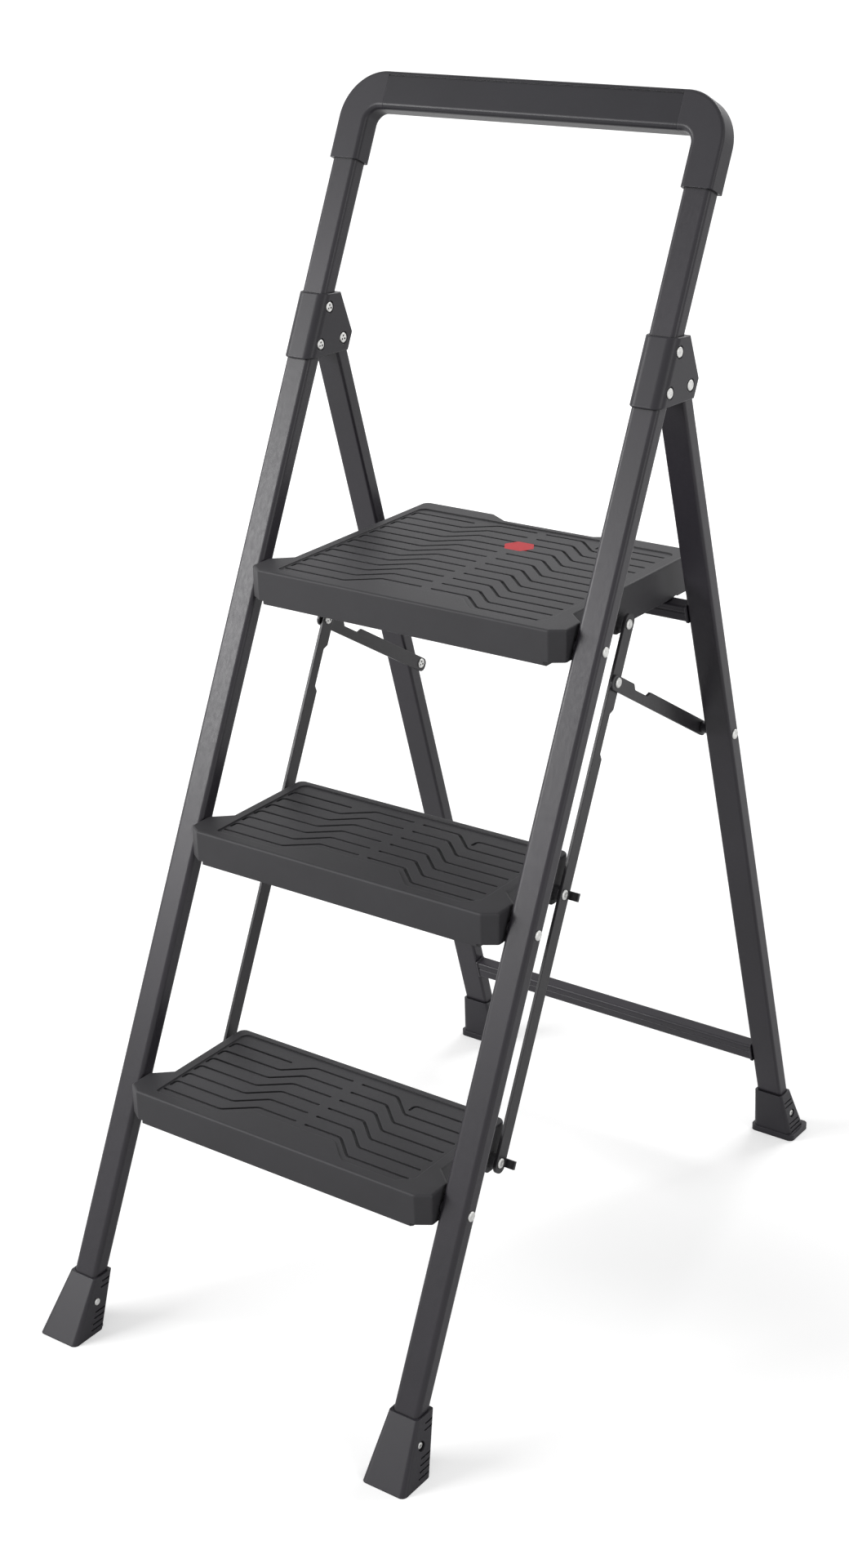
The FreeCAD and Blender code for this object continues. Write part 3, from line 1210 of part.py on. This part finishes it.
def build():
    for make_piece, left_name in ((rail, "rail_left"), (knuckle, "knuckle_left"),
                                  (elbow, "handle_elbow_left"), (front_foot, "front_foot_left"),
                                  (rear_leg, "rear_leg_left"), (rear_foot, "rear_foot_left"),
                                  (link_bar, "link_bar_left"), (link_rivets, "link_rivets_left"),
                                  (brace, "brace_left"), (brace_fasteners, "brace_rivet_left")):
        add_mirror(make_piece(), left_name)
    grip()
    cross_tube()
    rail_rivets()
    rail_washers()
    knuckle_fasteners()
    foot_screws()
    crossbar("rear_crossbar_lower", size.low_bar_low, size.low_bar_high)
    crossbar("rear_crossbar_upper", high_bar_high - size.high_bar_height, high_bar_high)
    tread("tread_bottom", size.tread_rear, 0)
    tread("tread_middle", size.tread_rear, 1)
    tread("platform", size.platform_rear, 2, seat=True, recessed=True, insert=True)
    insert_piece()


def check():
    """Every object has been made, and every sub-part is a valid shape."""
    doc.recompute()
    for item in doc.Objects:
        if "Invalid" in item.State or "Error" in item.State:
            raise RuntimeError(f"{item.Label} failed: {item.State}")
    for item in nodes:
        if item.Shape.isNull() or not item.Shape.isValid():
            raise RuntimeError(f"{item.Label} has no valid shape")


def write():
    os.makedirs("parts", exist_ok=True)
    for item in nodes:
        item.Shape.exportStep(os.path.join("parts", f"{item.Label}.step"))
        print(f"{item.Label}: {len(item.Shape.Solids)} solids, {item.Shape.Volume:.0f} mm3")


build()
check()
write()
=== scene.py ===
import json
import math
import bmesh
import bpy
from mathutils import Matrix, Vector

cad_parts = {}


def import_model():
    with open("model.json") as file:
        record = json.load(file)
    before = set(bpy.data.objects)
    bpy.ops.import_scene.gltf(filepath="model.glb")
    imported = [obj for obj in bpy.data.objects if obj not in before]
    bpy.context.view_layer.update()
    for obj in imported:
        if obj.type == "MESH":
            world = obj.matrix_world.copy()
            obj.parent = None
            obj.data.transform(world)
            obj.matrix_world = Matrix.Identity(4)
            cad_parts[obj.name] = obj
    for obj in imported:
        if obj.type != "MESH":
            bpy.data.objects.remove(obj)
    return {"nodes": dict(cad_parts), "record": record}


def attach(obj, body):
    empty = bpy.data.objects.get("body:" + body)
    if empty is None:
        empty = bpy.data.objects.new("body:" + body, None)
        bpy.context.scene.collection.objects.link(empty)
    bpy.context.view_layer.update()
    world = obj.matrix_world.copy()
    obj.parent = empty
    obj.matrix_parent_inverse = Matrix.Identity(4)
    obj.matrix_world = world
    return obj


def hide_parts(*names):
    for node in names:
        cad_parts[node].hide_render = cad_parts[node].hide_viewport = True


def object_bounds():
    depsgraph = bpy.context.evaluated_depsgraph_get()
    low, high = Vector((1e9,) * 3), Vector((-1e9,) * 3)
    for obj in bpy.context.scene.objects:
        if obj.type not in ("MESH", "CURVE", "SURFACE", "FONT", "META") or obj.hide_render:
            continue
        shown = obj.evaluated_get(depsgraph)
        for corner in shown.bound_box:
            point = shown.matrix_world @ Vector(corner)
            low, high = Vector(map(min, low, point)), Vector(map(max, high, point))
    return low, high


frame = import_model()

CAD_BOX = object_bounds()
NODES = frame["nodes"]

# A folding three-step stool with a tall hand rail. Metres; X runs to the right of someone who
# faces the steps, Y away from them and Z up.

WHITE = (1.0, 1.0, 1.0)


# ---------------------------------------------------------------- node helpers

BEVEL_SAMPLES = 6
GAP_SAMPLES = 4


def shade(colour, amount):
    """The colour made lighter (amount above 1) or darker."""
    return tuple(channel * amount for channel in colour)


class Tree:
    """A material's node tree, with short calls for the nodes used here."""

    def __init__(self, name):
        self.material = bpy.data.materials.new(name)
        self.material.use_nodes = True
        self.tree = self.material.node_tree
        self.tree.nodes.clear()
        self.place = self.add("ShaderNodeTexCoord").outputs["Object"]

    def add(self, kind, inputs=None, **settings):
        node = self.tree.nodes.new(kind)
        for key, value in settings.items():
            setattr(node, key, value)
        for key, value in (inputs or {}).items():
            self.put(value, node.inputs[key])
        return node

    def put(self, value, socket):
        if isinstance(value, bpy.types.NodeSocket):
            self.tree.links.new(value, socket)
        elif isinstance(value, tuple) and len(value) == 3 and len(socket.default_value) == 4:
            socket.default_value = value + (1.0,)       # a colour, with full alpha
        else:
            socket.default_value = value

    def noise(self, scale, detail=2.0, roughness=0.5, stretch=None):
        """Soft noise; stretch scales the place along each axis first."""
        place = self.place
        if stretch:
            place = self.add("ShaderNodeMapping", {"Vector": place, "Scale": stretch}).outputs[0]
        node = self.add("ShaderNodeTexNoise", {"Vector": place, "Scale": scale, "Detail": detail,
                                               "Roughness": roughness})
        return node.outputs["Fac"]

    def cells(self, scale):
        node = self.add("ShaderNodeTexVoronoi", {"Vector": self.place, "Scale": scale})
        return node.outputs["Distance"]

    def remap(self, value, low, high, to_low=0.0, to_high=1.0):
        node = self.add("ShaderNodeMapRange", {"Value": value, "From Min": low, "From Max": high,
                                               "To Min": to_low, "To Max": to_high})
        return node.outputs["Result"]

    def math(self, operation, first, second):
        return self.add("ShaderNodeMath", {0: first, 1: second}, operation=operation).outputs[0]

    def mix(self, amount, first, second):
        node = self.add("ShaderNodeMix", {"Factor": amount}, data_type="RGBA")
        self.put(first, node.inputs[6])
        self.put(second, node.inputs[7])
        return node.outputs[2]

    def bump(self, height, depth, strength=1.0, before=None):
        node = self.add("ShaderNodeBump", {"Height": height, "Distance": depth,
                                           "Strength": strength})
        if before:
            self.put(before, node.inputs["Normal"])
        return node.outputs["Normal"]

    def edges(self, radius, reach=0.25):
        """1 on the outer edges and corners of a piece, 0 on its flats, and the rounded normal."""
        rounded = self.add("ShaderNodeBevel", {"Radius": radius},
                           samples=BEVEL_SAMPLES).outputs["Normal"]
        true = self.add("ShaderNodeNewGeometry").outputs["Normal"]
        dot = self.add("ShaderNodeVectorMath", {0: rounded, 1: true},
                       operation="DOT_PRODUCT").outputs["Value"]
        return self.remap(dot, 1.0, 1.0 - reach), rounded

    def shadow_in_gaps(self, distance):
        """0 deep in a groove or seam, 1 in the open."""
        node = self.add("ShaderNodeAmbientOcclusion", {"Distance": distance}, samples=GAP_SAMPLES)
        return node.outputs["AO"]

    def surface(self, **sockets):
        shader = self.add("ShaderNodeBsdfPrincipled", sockets)
        out = self.add("ShaderNodeOutputMaterial")
        self.tree.links.new(shader.outputs[0], out.inputs["Surface"])
        return self.material


# ---------------------------------------------------------------- materials

# Widths of the gaps that collect painted shade, and the colours of the shade painted into the
# fasteners' hollows and round their rims.
SEAM = 0.0022
GROOVE = 0.004
# Painted shade in a fastener's hollow and gaps.
HOLLOW_SHADE = (0.04, 0.04, 0.04)
# A painted dark ring of shade round a head's rim.
RIM_SHADE = (0.05, 0.05, 0.05)


def powder_coat(name, colour, tint, edge_highlight):
    """Satin powder coat: fine orange peel, faint speckle, a painted highlight on its edges and
    painted shade in its seams.
    """
    t = Tree(name)
    cloud = t.noise(9.0, 3.0, 0.55)
    grain = t.noise(1400.0, 2.0, 0.6)
    peel = t.noise(520.0, 1.5, 0.5)
    drawn = t.noise(60.0, 2.0, 0.5, stretch=(6.0, 6.0, 0.25))
    edge, rounded = t.edges(0.0012)
    base = t.mix(t.remap(cloud, 0.35, 0.65), colour, tint)
    speckle = t.math("MULTIPLY", t.remap(grain, 0.45, 0.75), 0.25)
    base = t.mix(speckle, base, shade(colour, 1.9))
    # Edges lightened: a painted highlight along the edges.
    base = t.mix(t.math("MULTIPLY", edge, edge_highlight), base, shade(colour, 3.2))
    # Seams and gaps darkened: painted shade.
    open_air = t.remap(t.shadow_in_gaps(SEAM), 0.45, 0.85)
    base = t.mix(open_air, shade(colour, 0.3), base)
    rough = t.math("ADD", t.remap(drawn, 0.3, 0.7, 0.30, 0.37),
                   t.remap(grain, 0.3, 0.7, -0.02, 0.03))
    normal = t.bump(peel, 0.00003, 0.3, before=rounded)
    normal = t.bump(grain, 0.00001, 0.4, before=normal)
    return t.surface(**{"Base Color": base, "Roughness": rough, "Normal": normal,
                        "Specular IOR Level": 0.32})


def plastic(name, colour, scuff, roughness, texture, edge_highlight, gaps, shine):
    """Moulded plastic with a fine grain, a painted highlight on its edges and painted shade in
    its gaps.
    """
    t = Tree(name)
    cloud = t.noise(14.0, 3.0, 0.6)
    grain = t.noise(texture, 3.0, 0.6)
    pits = t.cells(texture * 0.6)
    edge, rounded = t.edges(0.0009)
    base = t.mix(t.remap(cloud, 0.3, 0.7), colour, scuff)
    speckle = t.math("MULTIPLY", t.remap(grain, 0.5, 0.8), 0.3)
    base = t.mix(speckle, base, shade(colour, 1.8))
    # Edges lightened: a painted highlight along the edges.
    base = t.mix(t.math("MULTIPLY", edge, edge_highlight), base, shade(colour, 2.6))
    # Grooves and gaps darkened: painted shade.
    if gaps:
        open_air = t.remap(t.shadow_in_gaps(GROOVE), 0.25, 0.9)
        closed = t.math("MULTIPLY", t.math("SUBTRACT", 1.0, open_air), gaps)
        base = t.mix(closed, base, shade(colour, 0.2))
    rough = t.remap(grain, 0.3, 0.7, roughness - 0.05, roughness + 0.06)
    normal = t.bump(grain, 0.00003, 0.4, before=rounded)
    normal = t.bump(pits, 0.00002, 0.3, before=normal)
    return t.surface(**{"Base Color": base, "Roughness": rough, "Normal": normal,
                        "Specular IOR Level": shine})


def zinc(name):
    """Dull zinc on a headed rivet, with painted shade in its hollow and a painted dark ring along
    its edges.
    """
    t = Tree(name)
    cloud = t.noise(260.0, 3.0, 0.6)
    scratch = t.noise(900.0, 2.0, 0.5, stretch=(1.0, 8.0, 1.0))
    open_air = t.remap(t.shadow_in_gaps(SEAM), 0.35, 0.85)
    edge, rounded = t.edges(0.0005, 0.15)
    base = t.mix(t.remap(cloud, 0.35, 0.65), (0.62, 0.62, 0.61), (0.76, 0.76, 0.74))
    # Painted shade in the hollow and gaps of the head.
    base = t.mix(open_air, HOLLOW_SHADE, base)
    # Painted dark ring of shade along the head's rim and edges.
    base = t.mix(t.math("MULTIPLY", edge, 0.85), base, RIM_SHADE)
    rough = t.remap(scratch, 0.3, 0.7, 0.34, 0.52)
    normal = t.bump(scratch, 0.00002, 0.4, before=rounded)
    return t.surface(**{"Base Color": base, "Roughness": rough, "Normal": normal,
                        "Metallic": 0.8})


ZINC = zinc("zinc_plated_steel")
STRIP = powder_coat("powder_coated_strip", (0.027, 0.0260, 0.0285), (0.032, 0.030, 0.034),
                    edge_highlight=0.4)
STRIP_NODES = ("link_bar_left", "link_bar_right", "brace_left", "brace_right")

# The material for each slot of the record.
FINISH = {
    "powder_coated_steel": powder_coat(
        "powder_coated_steel", (0.027, 0.0250, 0.0300), (0.032, 0.029, 0.036), edge_highlight=0.4),
    "tread_plastic": plastic(
        "tread_plastic", (0.034, 0.0330, 0.0360), (0.041, 0.040, 0.044),
        roughness=0.52, texture=1500.0, edge_highlight=0.7, gaps=0.8, shine=0.32),
    "moulded_plastic": plastic(
        "moulded_plastic", (0.029, 0.0275, 0.0325), (0.034, 0.032, 0.038),
        roughness=0.36, texture=1900.0, edge_highlight=0.6, gaps=0.5, shine=0.27),
    "grip_plastic": plastic(
        "grip_plastic", (0.019, 0.0180, 0.0220), (0.023, 0.022, 0.027),
        roughness=0.33, texture=2200.0, edge_highlight=0.35, gaps=0.9, shine=0.27),
    "red_plastic": plastic(
        "red_plastic", (0.52, 0.008, 0.016), (0.58, 0.012, 0.022),
        roughness=0.42, texture=1500.0, edge_highlight=0.35, gaps=0.0, shine=0.2),
    "zinc_plated_steel": ZINC,
}


def finish_cad_nodes():
    """Give each CAD node its slot's material; the flat strips have one of their own."""
    slots = {part["node"]: part["material_slot"] for part in frame["record"]["subparts"]}
    for name, item in NODES.items():
        material = STRIP if name in STRIP_NODES else FINISH[slots[name]]
        item.data.materials.clear()
        item.data.materials.append(material)


finish_cad_nodes()


# ---------------------------------------------------------------- fastener heads

# The outline of a formed head: each pair is a radius and a place along the axis, as shares of the
# head's radius and of its height. DOME is a rivet's factory head, CLINCH its set end, and PAN a
# screw's head with a recess for the driver.
DOME = ((1.0, 0.0), (1.0, 0.40), (0.96, 0.66), (0.86, 0.86), (0.70, 0.97), (0.50, 1.0),
        (0.36, 0.96), (0.24, 0.84), (0.0, 0.82))
CLINCH = ((1.0, 0.0), (1.0, 0.35), (0.95, 0.70), (0.84, 0.92), (0.72, 1.0), (0.60, 0.94),
          (0.50, 0.84), (0.0, 0.80))
PAN = ((1.0, 0.0), (1.0, 0.36), (0.95, 0.66), (0.82, 0.88), (0.60, 0.98), (0.36, 1.0),
       (0.30, 0.80), (0.20, 0.10), (0.10, -0.30), (0.0, -0.35))
SIDES = 40
SHARP_ANGLE = math.radians(50)
WELD = 1e-6

# Shares of a head's radius: where its rim begins, how wide its shank may be, the widest end face
# that gets dents, and the dents' place and size.
RIM_FROM = 0.93
SHANK_FROM, SHANK_TO = 0.3, 0.85
DENTED_TO = 0.6
DENT_OFFSET = 0.42
DENT_WIDE, DENT_NARROW = 0.22, 0.17
DENT_DEPTH = 0.30


def islands(mesh):
    """The separate solids of a mesh, each as a list of points."""
    shape = bmesh.new()
    shape.from_mesh(mesh)
    bmesh.ops.remove_doubles(shape, verts=shape.verts[:], dist=WELD)
    reached = set()
    found = []
    for start in shape.verts:
        if start in reached:
            continue
        reached.add(start)
        group, ahead = [], [start]
        while ahead:
            vert = ahead.pop()
            group.append(vert.co.copy())
            for edge in vert.link_edges:
                other = edge.other_vert(vert)
                if other not in reached:
                    reached.add(other)
                    ahead.append(other)
        found.append(group)
    shape.free()
    return found


def profile_of(points, outer_head, inner_head):
    """The lathe profile of a fastener along X, from its inner end to its outer end.

    Gives its centre, the side it is on, its (x, radius) pairs and its head's radius. An end
    without a head in the CAD stays a plain shank.
    """
    low = Vector([min(point[axis] for point in points) for axis in range(3)])
    high = Vector([max(point[axis] for point in points) for axis in range(3)])
    centre = (low + high) / 2
    head = min(high.y - low.y, high.z - low.z) / 2
    sign = 1 if centre.x > 0 else -1
    places = []
    for point in points:
        radius = math.hypot(point.y - centre.y, point.z - centre.z)
        places.append(((point.x - centre.x) * sign, radius))
    half = (high.x - low.x) / 2
    rim = [x for x, radius in places if radius > RIM_FROM * head]
    outer_rim = min((x for x in rim if x > 0), default=None)
    inner_rim = max((x for x in rim if x < 0), default=None)
    shank = max(radius for x, radius in places
                if SHANK_FROM * head < radius < SHANK_TO * head)
    line = []
    if inner_rim is None:
        line += [(-half, 0.0), (-half, shank)]
    else:
        height = half + inner_rim
        line += [(inner_rim - along * height, radius * head)
                 for radius, along in reversed(inner_head)]
        line.append((inner_rim, shank))
    if outer_rim is None:
        line += [(half, shank), (half, 0.0)]
    else:
        height = half - outer_rim
        line.append((outer_rim, shank))
        line += [(outer_rim + along * height, radius * head) for radius, along in outer_head]
    return centre, sign, line, head


def turn(shape, centre, sign, line):
    """Add a lathed solid to a bmesh: line gives its (x, radius) pairs from end to end."""
    rings = []
    for x, radius in line:
        if radius == 0.0:
            rings.append([shape.verts.new((centre.x + sign * x, centre.y, centre.z))])
            continue
        ring = []
        for step in range(SIDES):
            angle = 2 * math.pi * step / SIDES
            ring.append(shape.verts.new((centre.x + sign * x,
                                         centre.y + radius * math.cos(angle),
                                         centre.z + radius * math.sin(angle))))
        rings.append(ring)
    for first, second in zip(rings, rings[1:]):
        for step in range(SIDES):
            after = (step + 1) % SIDES
            corners = [first[step % len(first)], first[after % len(first)],
                       second[after % len(second)], second[step % len(second)]]
            shape.faces.new(list(dict.fromkeys(corners)))


def crimps(shape, centre, sign, line, head):
    """Three short pins, a third of a turn apart, that leave the dents of a set rivet's end."""
    start = line[0][0] - head
    bottom = line[0][0] + DENT_DEPTH * head
    for third in range(3):
        angle = math.radians(90 + 120 * third)
        place = Vector((0, math.cos(angle), math.sin(angle))) * DENT_OFFSET * head
        turn(shape, centre + place, sign, [(start, 0.0), (start, DENT_WIDE * head),
                                           (bottom, DENT_NARROW * head), (bottom, 0.0)])


def mesh_of(shape, name):
    """A mesh from a bmesh, which it frees."""
    bmesh.ops.recalc_face_normals(shape, faces=shape.faces[:])
    mesh = bpy.data.meshes.new(name)
    shape.to_mesh(mesh)
    shape.free()
    return mesh


def cut(item, cutter_mesh):
    """Take the cutter out of the item's mesh."""
    cutter = bpy.data.objects.new("cutter", cutter_mesh)
    bpy.context.scene.collection.objects.link(cutter)
    boolean = item.modifiers.new("cut", "BOOLEAN")
    boolean.operation = "DIFFERENCE"
    boolean.solver = "EXACT"
    boolean.object = cutter
    result = bpy.data.meshes.new_from_object(
        item.evaluated_get(bpy.context.evaluated_depsgraph_get()))
    item.modifiers.remove(boolean)
    item.data = result
    bpy.data.objects.remove(cutter)


def heads(node, body, outer_head, inner_head):
    """Formed heads in place of the plain ones of a CAD node's rivets, bolts or screws."""
    shape, pins = bmesh.new(), bmesh.new()
    for points in islands(NODES[node].data):
        centre, sign, line, head = profile_of(points, outer_head, inner_head)
        turn(shape, centre, sign, line)
        if inner_head is CLINCH and line[1][1] < DENTED_TO * head:
            crimps(pins, centre, sign, line, head)
    mesh = mesh_of(shape, node + "_formed")
    for face in mesh.polygons:
        face.use_smooth = True
    mesh.set_sharp_from_angle(angle=SHARP_ANGLE)
    mesh.materials.append(ZINC)
    item = bpy.data.objects.new(node + "_formed", mesh)
    bpy.context.scene.collection.objects.link(item)
    if pins.verts:
        cut(item, mesh_of(pins, node + "_pins"))
    else:
        pins.free()
    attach(item, body)
    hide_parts(node)


BODY_OF = {node: body for body, nodes in frame["record"]["behaviour"]["bodies"].items()
           for node in nodes}
for fastener, outer_end, inner_end in (
        ("rail_rivets", DOME, CLINCH), ("knuckle_bolts", DOME, CLINCH),
        ("knuckle_pivot_bolts", DOME, CLINCH), ("link_rivets_left", DOME, CLINCH),
        ("link_rivets_right", DOME, CLINCH), ("brace_rivet_left", DOME, CLINCH),
        ("brace_rivet_right", DOME, CLINCH), ("brace_rear_rivets", DOME, CLINCH),
        ("front_foot_screws", PAN, DOME), ("rear_foot_screws", PAN, DOME)):
    heads(fastener, BODY_OF[fastener], outer_end, inner_end)


# ---------------------------------------------------------------- stage, light and camera

FLOOR_REACH = 30.0
FLOOR_GAP = 0.0002      # keeps the floor clear of the soles


def floor():
    """A pale floor that is white to the camera and keeps the stool's shadow.

    Camera rays see white paper with a glow that grows away from the stool, reflections see it
    with a weaker glow, and other rays a mid grey that throws less light up at the stool.
    """
    mesh = bpy.data.meshes.new("floor")
    corners = [(x * FLOOR_REACH, y * FLOOR_REACH, 0)
               for x, y in ((-1, -1), (1, -1), (1, 1), (-1, 1))]
    mesh.from_pydata(corners, [], [(0, 1, 2, 3)])
    item = bpy.data.objects.new("floor", mesh)
    item.location.z = CAD_BOX[0][2] - FLOOR_GAP
    bpy.context.scene.collection.objects.link(item)
    t = Tree("studio_floor")
    path = t.add("ShaderNodeLightPath")
    grey = t.remap(t.noise(2.0), 0.3, 0.7, 0.56, 0.58)
    colour = t.add("ShaderNodeCombineColor", {0: grey, 1: grey, 2: grey}).outputs[0]
    plain = t.add("ShaderNodeBsdfDiffuse", {"Color": colour})
    paper = t.add("ShaderNodeBsdfDiffuse", {"Color": shade(WHITE, 0.95)})
    away = t.add("ShaderNodeVectorMath", {0: t.place}, operation="LENGTH").outputs["Value"]
    direct = t.math("MAXIMUM", path.outputs["Is Camera Ray"], path.outputs["Is Transmission Ray"])
    mirrored = path.outputs["Is Glossy Ray"]
    seen_glow = t.math("MULTIPLY", t.remap(away, 1.0, 3.5, 0.34, 0.85), direct)
    mirrored_glow = t.math("MULTIPLY", t.remap(away, 0.8, 2.6, 0.05, 0.58), mirrored)
    strength = t.math("ADD", seen_glow, mirrored_glow)
    glow = t.add("ShaderNodeEmission", {"Color": WHITE, "Strength": strength})
    white = t.add("ShaderNodeAddShader", {0: paper.outputs[0], 1: glow.outputs[0]})
    seen = t.math("MAXIMUM", direct, mirrored)
    mix = t.add("ShaderNodeMixShader", {0: seen, 1: plain.outputs[0], 2: white.outputs[0]})
    out = t.add("ShaderNodeOutputMaterial")
    t.tree.links.new(mix.outputs[0], out.inputs["Surface"])
    mesh.materials.append(t.material)


def world(strength):
    """White to camera, glossy and transmission rays, and plain soft light to all others."""
    surroundings = bpy.data.worlds.new("studio")
    surroundings.use_nodes = True
    tree = surroundings.node_tree
    tree.nodes.clear()
    path = tree.nodes.new("ShaderNodeLightPath")
    seen = path.outputs["Is Camera Ray"]
    for ray in ("Is Glossy Ray", "Is Transmission Ray"):
        either = tree.nodes.new("ShaderNodeMath")
        either.operation = "MAXIMUM"
        tree.links.new(seen, either.inputs[0])
        tree.links.new(path.outputs[ray], either.inputs[1])
        seen = either.outputs[0]
    mix = tree.nodes.new("ShaderNodeMixShader")
    tree.links.new(seen, mix.inputs[0])
    for socket, level in ((1, strength), (2, 1.0)):
        background = tree.nodes.new("ShaderNodeBackground")
        background.inputs["Color"].default_value = WHITE + (1.0,)
        background.inputs["Strength"].default_value = level
        tree.links.new(background.outputs[0], mix.inputs[socket])
    out = tree.nodes.new("ShaderNodeOutputWorld")
    tree.links.new(mix.outputs[0], out.inputs["Surface"])
    bpy.context.scene.world = surroundings


def softbox(name, place, aim, width, height, power):
    """A rectangular lamp at a place, turned towards the aim."""
    light = bpy.data.lights.new(name, "AREA")
    light.shape = "RECTANGLE"
    light.size = width
    light.size_y = height
    light.energy = power
    item = bpy.data.objects.new(name, light)
    item.location = place
    item.rotation_euler = (Vector(aim) - Vector(place)).to_track_quat("-Z", "Y").to_euler()
    bpy.context.scene.collection.objects.link(item)


# The camera's place, and where it looks from: angles in degrees.
CAMERA_PLACE = (1.2720, -1.71835, 1.4059)
CAMERA_AZIMUTH = 36.80
CAMERA_ELEVATION = 23.07
CAMERA_ROLL = -1.79
CAMERA_LENS = 55.79
CAMERA_SHIFT = 0.00078


def camera():
    """The camera stands to the front right of the stool, a little above its hand rail."""
    azimuth, elevation, roll = (math.radians(angle) for angle in
                                (CAMERA_AZIMUTH, CAMERA_ELEVATION, CAMERA_ROLL))
    back = Vector((math.sin(azimuth) * math.cos(elevation),
                   -math.cos(azimuth) * math.cos(elevation), math.sin(elevation)))
    right = (-back).cross(Vector((0, 0, 1))).normalized()
    up = right.cross(-back)
    turned_right = right * math.cos(roll) + up * math.sin(roll)
    turned_up = up * math.cos(roll) - right * math.sin(roll)
    axes = Matrix((turned_right, turned_up, back)).transposed().to_4x4()
    data = bpy.data.cameras.new("camera")
    data.lens = CAMERA_LENS
    data.sensor_width = 36.0
    data.shift_x = CAMERA_SHIFT
    data.clip_end = 100.0
    item = bpy.data.objects.new("camera", data)
    item.matrix_world = Matrix.Translation(CAMERA_PLACE) @ axes
    bpy.context.scene.collection.objects.link(item)
    bpy.context.scene.camera = item


floor()
world(strength=0.37)
softbox("key_softbox", (-2.50, -2.32, 1.90), (0.0, 0.0, 0.65), width=2.2, height=1.0, power=88.0)
softbox("side_softbox", (3.2, -0.4, 1.8), (0.0, 0.0, 0.6), width=0.8, height=2.4, power=20.0)
softbox("rear_softbox", (0.4, 3.0, 3.0), (0.0, 0.0, 0.6), width=2.0, height=1.2, power=50.0)
camera()
bpy.context.scene.view_settings.view_transform = "Standard"
